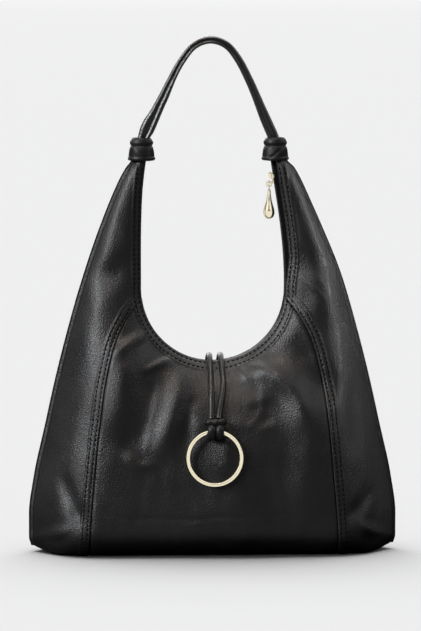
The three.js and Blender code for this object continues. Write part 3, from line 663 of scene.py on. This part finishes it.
ring_parts = Parts()
angle = np.linspace(0, 2 * math.pi, 144, endpoint=False)
circle = np.stack([RING_RADIUS * np.sin(angle) + RING_X, 0 * angle, RING_RADIUS * (np.cos(angle) - 1)], -1)
tilt = np.array(Matrix.Rotation(-math.radians(RING_TILT), 3, "X"))
tube(ring_parts, circle @ tilt.T + HINGE, RING_WIRE, 28, closed=True)
ring = ring_parts.make("ring_wire", gold)
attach(ring, "ring")
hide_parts("ring")

# Turns of the hitch round the ring: distance from the middle, radius, and their flattened section
HITCH_APART, HITCH_RADIUS, HITCH_WIDE, HITCH_FLAT = 4.0, 5.7, 4.05, 0.68
hitch_parts = Parts()
round_hitch = angle[::3]
for hand in (-1, 1):
    loop = np.stack([hand * HITCH_APART + 0 * round_hitch, HITCH_RADIUS * np.sin(round_hitch),
                     HITCH_RADIUS * np.cos(round_hitch)], -1)
    tube(hitch_parts, loop + HINGE, HITCH_WIDE, 24, closed=True, flat=HITCH_FLAT)
band = smooth_path([(-6.0, 6.0, 8.0), (-8.0, 2.6, 8.4), (-5.6, -1.6, 9.2), (0, -2.2, 9.0), (5.6, -1.6, 9.4),
                    (8.0, 2.6, 8.6), (6.0, 6.0, 8.0)], 60)
tube(hitch_parts, band + HINGE, 3.2 + 0.4 * np.cos(band[:, 0] * 0.9), 20)
hitch = hitch_parts.make("lace_hitch_wound", knot_leather)
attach(hitch, "bag")
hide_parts("lace_hitch")

lace_lines = {}
for side, xs in (("left", (-2.9, -2.6, -2.6, -2.9, -3.2)), ("right", (8.3, 10.0, 8.2, 5.6, 3.6))):
    path = lace_lines[side] = lace_path(xs)
    curve = bpy.data.curves.new(f"lace_{side}", "CURVE")
    curve.dimensions = "3D"
    curve.bevel_depth = LACE_RADIUS * MM
    curve.bevel_resolution = 5
    curve.use_fill_caps = True
    spline = curve.splines.new("POLY")
    spline.points.add(len(path) - 1)
    for point, at in zip(spline.points, path):
        point.co = (*(at * MM), 1)
    spline.use_smooth = True
    lace = placed(f"lace_cord_{side}", curve)
    lace.data.materials.append(lace_leather)
    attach(lace, "bag")
    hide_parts(f"lace_{side}")

# Leather panels: steps of the grids near a hem, where the relief is finest
HEM_STEPS = np.array([0, 0.12, 0.3, 0.6, 1.0, 1.5, 2.0, 2.4, 2.8, 3.2, 3.7, 4.4, 5.2, 6.0, 6.6, 7.0, 7.4,
                      7.8, 8.3, 8.9, 9.6, 10.4, 11.3])
# Middle panel, about: width and height on the leather, share of the height that the bottom's bend has
MIDDLE_WIDE, MIDDLE_HIGH, BEND = 235, 200, 0.16


def middle_grid(face):
    near = HEM_STEPS / MIDDLE_WIDE
    across = np.concatenate([near, np.linspace(near[-1], 1 - near[-1], 150)[1:-1], 1 - near[::-1]])
    low = 1 - np.cos(np.linspace(0, math.pi / 2, 16))
    up = np.concatenate([BEND * low, np.linspace(BEND, 1 - HEM_STEPS[-1] / MIDDLE_HIGH, 120)[1:],
                         1 - HEM_STEPS[-2::-1] / MIDDLE_HIGH])
    s = 2 * across - 1 if face["sign"] < 0 else 1 - 2 * across
    s, v = np.meshgrid(s, up)
    middle, radius, centre, half = rim(face, SEAM_TOP_Z)
    swing = math.atan2(half, centre - SEAM_TOP_Z)
    x = s * (seam_half(SEAM_TOP_Z * v) - GAP) + v * (radius * np.sin(swing * s) + middle - s * SEAM_TOP_X)
    z = v * (centre - radius * np.cos(swing * s))
    return x, z


def side_grid(face, hand):
    low = BOTTOM_RADIUS * (1 - np.cos(np.linspace(0, math.pi / 2, 16)))
    heights = np.concatenate([low, np.linspace(BOTTOM_RADIUS, WING_TOP_Z, 172)[1:]])
    z = heights[:, None]
    inner = side_edge(face, hand, z)
    width = outline_half(z, hand) - inner
    near = HEM_STEPS[None, :] * np.minimum(1, width / 26)
    t = np.sin(np.linspace(0, math.pi / 2, 62))[None, 1:]
    out = np.concatenate([near, mix(near[:, -1:], width, t)], 1)
    x = hand * (inner + out)
    z = np.broadcast_to(z, x.shape)
    if face["sign"] * hand > 0:
        x, z = x[:, ::-1], z[:, ::-1]
    return x, z


for end, face in (("front", FRONT), ("back", BACK)):
    parts = Parts()
    x, z = middle_grid(face)
    sheet(parts, body_point(face, x, z), middle_relief(face, x, z))
    panel = parts.make(f"{end}_panel_leather", leather, lining)
    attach(panel, "bag")
    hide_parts(f"{end}_panel")
    for side, hand in (("left", -1), ("right", 1)):
        parts = Parts()
        x, z = side_grid(face, hand)
        sheet(parts, body_point(face, x, z), side_relief(face, hand, x, z))
        panel = parts.make(f"side_{end}_{side}_leather", leather, lining)
        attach(panel, "bag")
        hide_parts(f"side_{end}_{side}")

parts = Parts()
ends = np.sin(np.linspace(0, math.pi / 2, 60))
xs = np.concatenate([-179 * ends[:0:-1], 181 * ends])
turned_in = 0.3 + 2 * ease(148, 178, np.abs(xs))
ahead, rear = (np.maximum(depth_at(face, xs, 0.0) - turned_in, 0.2)[:, None] for face in (FRONT, BACK))
across = np.linspace(0, 1, 40)
base = np.stack(np.broadcast_arrays(xs[:, None], mix(-ahead, rear, across), end_lift(xs, 0.0)[:, None]), -1)
parts.add(base, grid_faces(*base.shape[:2])[:, ::-1])
parts.add(base + (0, 0, WALL), grid_faces(*base.shape[:2]), 1)
panel = parts.make("base_leather", leather, lining)
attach(panel, "bag")
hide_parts("base_panel")

# Topstitching


def rim_line(face, away, top=386.0):
    middle, radius, centre, _ = rim(face, 200.0)
    legs = np.linspace(top, centre + 1, 60)
    turn = np.linspace(-math.pi / 2, math.pi / 2, 160)
    m, _, _, left = rim(face, legs, -1)
    right = rim(face, legs, 1)[3]
    x = np.concatenate([m - left - away, middle + (radius + away) * np.sin(turn), (m + right + away)[::-1]])
    z = np.concatenate([legs, centre - (radius + away) * np.cos(turn), legs[::-1]])
    return x, z


sewn = Parts()
for face in (FRONT, BACK):
    for away in ROWS:
        x, z = rim_line(face, away)
        normal = body_normal(face, x, z)
        lift = edge_band(np.full_like(x, away)) + drape(face, x, z)
        stitches(sewn, body_point(face, x, z) + normal * lift[:, None], normal)
        for hand in (-1, 1):
            z = np.linspace(3, 249 - away, 140)
            slope = (side_edge(face, hand, z + 1.0) - side_edge(face, hand, z - 1.0)) / 2
            x = hand * (side_edge(face, hand, z) + away * np.sqrt(1 + slope ** 2))
            normal = body_normal(face, x, z)
            lift = side_relief(face, hand, x, z)
            stitches(sewn, body_point(face, x, z) + normal * lift[:, None], normal)
LACE_SEWN_BELOW = 168
sewn_lace = lace_lines["left"][lace_lines["left"][:, 2] < LACE_SEWN_BELOW]
facing = np.broadcast_to(unit(np.array([0.35, -1.0, 0.0])), sewn_lace.shape)
stitches(sewn, sewn_lace + facing * (LACE_RADIUS + 0.1), facing, pitch=2.6, length=1.5, thick=0.55)
sewn = sewn.make("topstitching", thread)
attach(sewn, "bag")

# Strap and knots

# Loose roll on the left leg: heights between which it starts, and its outer and inner side end
LOOSE_STARTS, LOOSE_OUTER_ENDS, LOOSE_INNER_ENDS = (412, 424), (442, 428), (480, 452)
# Turn of each roll to both sides, and how deep the groove between them lies
ROLL_TURN, ROLL_GROOVE = 2.25, 0.56
strap_half = np.array([(row[1], 0, row[0]) for row in STRAP], float)
strap_path = smooth_path(np.concatenate([(strap_half * (-1, 1, 1))[:0:-1], strap_half]), 260)
rows = sorted(STRAP)
wide_out, wide_in, deep = column(rows, 2), column(rows, 3), column(rows, 4)
tangent = unit(np.gradient(strap_path, axis=0))
rings = []
for k, (p, t) in enumerate(zip(strap_path, tangent)):
    out = np.array([-t[2], 0, t[0]])
    outer, inner, depth = float(wide_out(p[2])), float(wide_in(p[2])), float(deep(p[2]))
    loose = float(ease(*LOOSE_STARTS, p[2])) * (p[0] < 0)
    more_out = 1.5 * loose * float(ease(*LOOSE_OUTER_ENDS, p[2]))
    more_in = 2.0 * loose * float(ease(*LOOSE_INNER_ENDS, p[2]))
    turn = np.linspace(-ROLL_TURN, ROLL_TURN, 15)
    sway = 1 + 0.05 * noise.noise(Vector((k * 0.11, 0.3, 2.0)))
    roll = [((outer + more_out) / 2 * (1 + np.cos(turn)), depth * sway * np.sin(turn)),
            (-(inner + more_in) / 2 * (1 + np.cos(turn)), -depth / sway * np.sin(turn))]
    n = np.concatenate([roll[0][0], [0], roll[1][0], [0]]) - (outer - inner) / 2
    y = np.concatenate([roll[0][1], [depth * ROLL_GROOVE], roll[1][1], [-depth * ROLL_GROOVE]])
    q = p + np.outer(n, out)
    rings.append(np.stack([q[:, 0] + lean(q[:, 2]), y, q[:, 2]], -1))
parts = Parts()
rings = np.array(rings)
parts.add(rings, grid_faces(len(rings), rings.shape[1], True))
close_ends(parts, rings)
strap = parts.make("strap_rolled", strap_leather)
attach(strap, "bag")
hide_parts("strap")

for side, hand in (("left", -1), ("right", 1)):
    profile = smooth_path([(r, KNOT_TOP - KNOT_SQUEEZE * (KNOT_TOP - z), 0) for r, z in KNOT], 120)
    turn = np.linspace(0, 2 * math.pi, 120, endpoint=False)
    r, z = profile[:, :1], profile[:, 1:2] + 0 * turn
    outside = ease(11.5, 12.5, r) + (z > 4) * (r > 8.6)
    wrap = np.cos(turn - hand * (0.6 + z * 0.11)) ** 8
    crease = -0.9 * np.exp(-((np.cos(turn / 2 - hand * 0.3 - z * 0.05 * hand)) / 0.09) ** 2)
    r = r + np.clip(outside, 0, 1) * (0.5 * wrap + crease) * ease(2, 8, z) * (1 - ease(21, 24, z))
    sag = 0.6 * np.sin(turn) ** 2 * (1 - ease(0, 9, z))
    grid = np.stack([r * np.cos(turn), 0.92 * r * np.sin(turn), z - sag], -1)
    grid = grid + (hand * KNOT_X + float(lean(KNOT_Z + 10)), 0, KNOT_Z)
    parts = Parts()
    parts.add(grid, grid_faces(len(grid), len(turn), True)[:, ::-1])
    knot = parts.make(f"knot_{side}_wound", knot_leather)
    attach(knot, "bag")
    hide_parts(f"knot_{side}")

# Zip: how far its edge stands inside the rim, least distance of the edge from the middle
ZIP_IN, ZIP_LEAST = 5.5, 1.3
# Slider's bail, link and pull's eye: radius of their circles and of their wire
BAIL, LINK_EYE, PULL_EYE = (3.6, 0.65), (2.6, 0.65), (2.4, 0.6)


def rim_stations(face, legs=90, arc=190):
    m, radius, centre, _ = rim(face, 200.0)
    heights = np.linspace(TAPE_TOP_Z, centre + 1, legs)
    middle = rim(face, heights)[0]
    left, right = rim(face, heights, -1)[3], rim(face, heights, 1)[3]
    slope = [rim(face, heights + 0.5, hand)[3] - rim(face, heights - 0.5, hand)[3] for hand in (-1, 1)]
    flat = [unit(np.stack([hand + 0 * k, -k], -1)) for hand, k in zip((-1, 1), slope)]
    turn = np.linspace(-math.pi / 2, math.pi / 2, arc)
    x = np.concatenate([middle - left, m + radius * np.sin(turn), (middle + right)[::-1]])
    z = np.concatenate([heights, centre - radius * np.cos(turn), heights[::-1]])
    away = np.concatenate([flat[0], np.stack([np.sin(turn), -np.cos(turn)], -1), flat[1][::-1]])
    bare = np.concatenate([0 * heights, 0 * turn, bared(face, heights, 1)[::-1]])
    return x, z, away, bare


for end, face in (("front", FRONT), ("back", BACK)):
    x, z, away, bare = rim_stations(face)

    def behind(d, depth):
        px, pz = x + away[:, 0] * d, z + away[:, 1] * d
        return body_point(face, px, pz) - body_normal(face, px, pz) * np.reshape(depth, (-1, 1))

    def mouth(d, short=0.0):
        reach = np.maximum(mouth_half(z) - ZIP_IN + short, ZIP_LEAST)
        return np.stack([x - bare + away[:, 0] * d + lean(z), face["sign"] * reach, z + away[:, 1] * d], -1)

    hidden = np.minimum(7.0, 0.3 * shoulder(z))
    upper = [behind(hidden, 3.05), behind(0.6, 2.75), mouth(0.9, 2.0), mouth(0.9, 0.6)]
    lower = [behind(hidden, 3.95), behind(1.5, 3.65), mouth(1.9, 2.0), mouth(1.9, 0.6)]
    band = np.stack(upper + lower[::-1], 1)
    parts = Parts()
    parts.add(band, grid_faces(len(band), band.shape[1], True))
    bead = mouth(1.4, 0.4)
    run = run_along(bead)
    count = int(run[-1] / TOOTH_PITCH)
    for k in range(count):
        at = (k + 0.5) * run[-1] / count
        p = values_at(bead, run, at)
        along = unit(values_at(bead, run, at + 0.4) - p)
        inward = np.array([0, -face["sign"], 0.0])
        up = unit(np.cross(along, inward))
        inward = np.cross(up, along)
        tooth = np.stack([along, inward, up], 1)
        boxed(parts, TOOTH, (0, 0, 0), 0.3, tooth, p, 1, 6)
    tape = parts.make(f"zip_tape_{end}_sewn", tape_cloth, teeth_metal)
    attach(tape, "bag")
    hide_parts(f"zip_tape_{end}")

tilted = np.array(Matrix.Rotation(SLANT, 3, "Y"))
parts = Parts()
boxed(parts, (1.2, 8.4, 10.5), (-2.3, 0, 0), 0.5, tilted, SEAT)
boxed(parts, (1.2, 2.0, 9.0), (2.4, 0, 0), 0.4, tilted, SEAT)
boxed(parts, (4.4, 1.4, 4.0), (0, 0, 2.0), 0.3, tilted, SEAT)
boxed(parts, (3.0, 3.2, 6.0), (-4.1, 0, 3.2), 0.9, tilted, SEAT)
turn = np.linspace(math.pi / 2, 3 * math.pi / 2, 30)
bail = np.stack([-2.9 + BAIL[0] * np.cos(turn), BAIL[0] * np.sin(turn), 0 * turn - 4.0], -1)
tube(parts, bail @ tilted.T + SEAT, BAIL[1])
slider = parts.make("zip_slider_cast", gold)
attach(slider, "bag")
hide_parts("zip_slider")

parts = Parts()
turn = np.linspace(0, 2 * math.pi, 48, endpoint=False)
link_circle = LINK_EYE[0] * np.stack([np.cos(turn), 0 * turn, np.sin(turn)], -1)
tube(parts, link_circle + LINK, LINK_EYE[1], closed=True)
link = parts.make("zip_link_wire", gold)
parts = Parts()
eye_circle = PULL_EYE[0] * np.stack([0 * turn, np.cos(turn), 1 + np.sin(turn)], -1)
tube(parts, eye_circle + PULL, PULL_EYE[1], closed=True)
turned(parts, DROP, 48, PULL)
pull = parts.make("zip_pull_drop", gold)
for made, node in ((link, "zip_link"), (pull, "zip_pull")):
    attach(made, "zip_pull")
    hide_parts(node)

# Floor and light: a white room that only metal and floor mirror, and lamps for leather, metal and floor
ROOM_RADIUS, ROOM_LOW, ROOM_HIGH, ROOM_SIDES = 90, -1, 18, 64
ROOM_LIGHT, WORLD_LIGHT = 0.86, 0.18
turn = np.linspace(0, 2 * math.pi, ROOM_SIDES, endpoint=False)
foot = [(ROOM_RADIUS * math.cos(a), ROOM_RADIUS * math.sin(a)) for a in turn]
disc = [list(range(ROOM_SIDES))]
floor_mesh = bpy.data.meshes.new("floor")
floor_mesh.from_pydata([(x, y, 0) for x, y in foot], [], disc)
floor = placed("floor", floor_mesh)
floor_material, _, _, shader = node_material("pale_floor")
shader.inputs["Base Color"].default_value = (0.80, 0.805, 0.81, 1)
shader.inputs["Roughness"].default_value = 1.0
shader.inputs["Specular IOR Level"].default_value = 0.0
floor_mesh.materials.append(floor_material)
floor.visible_glossy = False
floor.visible_diffuse = False
wall_mesh = bpy.data.meshes.new("wall")
wall_mesh.from_pydata([(x, y, z) for z in (ROOM_LOW, ROOM_HIGH) for x, y in foot], [],
                      grid_faces(2, ROOM_SIDES, True).tolist() + disc)
wall = placed("wall", wall_mesh)
wall_material, _, _, shader = node_material("white_wall")
shader.inputs["Base Color"].default_value = (0, 0, 0, 1)
shader.inputs["Specular IOR Level"].default_value = 0.0
shader.inputs["Emission Color"].default_value = (1, 1, 1, 1)
shader.inputs["Emission Strength"].default_value = ROOM_LIGHT
wall_mesh.materials.append(wall_material)


def lit_group(name, *pieces):
    """Collection of the pieces that a lamp lights."""
    group = bpy.data.collections.new(name)
    for piece in pieces:
        group.objects.link(piece)
    return group


metal_pieces = (ring, slider, link, pull)
gilded = lit_group("gold_pieces", *metal_pieces)
ground = lit_group("ground", floor)
bright = lit_group("bright_pieces")
bright.children.link(gilded)
bright.children.link(ground)
others = (*metal_pieces, floor, wall)
dark = lit_group("dark_pieces", *[made for made in bpy.context.scene.collection.objects
                                  if made.type in {"MESH", "CURVE"} and made not in others])
wing = lit_group("right_wing", bpy.data.objects["side_front_right_leather"])
wall.light_linking.receiver_collection = bright


def lamp(name, kind, lit, power, **values):
    data = bpy.data.lights.new(name, kind)
    data.energy = power
    for key, value in values.items():
        setattr(data, key, value)
    made = placed(name, data)
    made.light_linking.receiver_collection = lit
    return made


def spot(name, at, to, power, cone_deg, radius, lit):
    made = lamp(name, "SPOT", lit, power, spot_size=math.radians(cone_deg), spot_blend=1.0,
                shadow_soft_size=radius)
    made.location = at
    made.rotation_euler = (Vector(at) - Vector(to)).to_track_quat("Z", "Y").to_euler()


def glow(name, y, power, lit, wide=4.0, deep=2.2):
    """Light that the floor before or behind the bag throws up at it."""
    made = lamp(name, "AREA", lit, power, shape="RECTANGLE", size=wide, size_y=deep)
    made.location = (0, y, 0.001)
    made.rotation_euler = (math.pi, 0, 0)
    made.visible_camera = False


def sun(name, azimuth, elevation, strength, spread_deg, colour, lit):
    made = lamp(name, "SUN", lit, strength, color=colour, angle=math.radians(spread_deg))
    a, e = math.radians(azimuth), math.radians(elevation)
    toward = Vector((math.sin(a) * math.cos(e), -math.cos(a) * math.cos(e), math.sin(e)))
    made.rotation_euler = toward.to_track_quat("Z", "Y").to_euler()


WHITE, COOL, COOLER, WARM = (1.0, 1.0, 1.0), (0.97, 0.98, 1.0), (0.95, 0.97, 1.0), (1.0, 0.62, 0.38)
# Leather: sun is azimuth, elevation, strength, spread, colour
sun("key_left", -56, 27, 4.0, 28, COOLER, dark)
glow("front_bounce", -1.18, 8.5, dark)
glow("back_bounce", 1.18, 12.0, dark)
sun("back_left", -158, 30, 2.0, 40, WHITE, dark)
sun("back_right", 150, 38, 1.4, 50, WHITE, dark)
sun("key_right", 80, 30, 0.65, 36, COOL, dark)
spot("wing_right", (2.16, -0.44, 0.98), (0.1, -0.02, 0.355), 420, 6.6, 0.2, wing)
sun("top", -10, 72, 1.0, 22, (1.0, 0.98, 0.96), dark)
sun("back_top", 180, 68, 1.2, 55, WHITE, dark)
sun("warm", -14, 66, 0.52, 12, WARM, dark)
# Metal and floor
sun("gold_left", -60, 45, 1.0, 75, WHITE, gilded)
sun("gold_right", 50, 50, 0.9, 75, WHITE, gilded)
sun("ground_soft", -165, 74, 2.85, 70, (1.0, 0.995, 0.99), ground)

world = bpy.data.worlds.new("studio")
world.use_nodes = True
bpy.context.scene.world = world
back_light = world.node_tree.nodes["Background"]
back_light.inputs["Color"].default_value = (1, 1, 1, 1)
back_light.inputs["Strength"].default_value = WORLD_LIGHT
bpy.context.scene.view_settings.view_transform = "Standard"
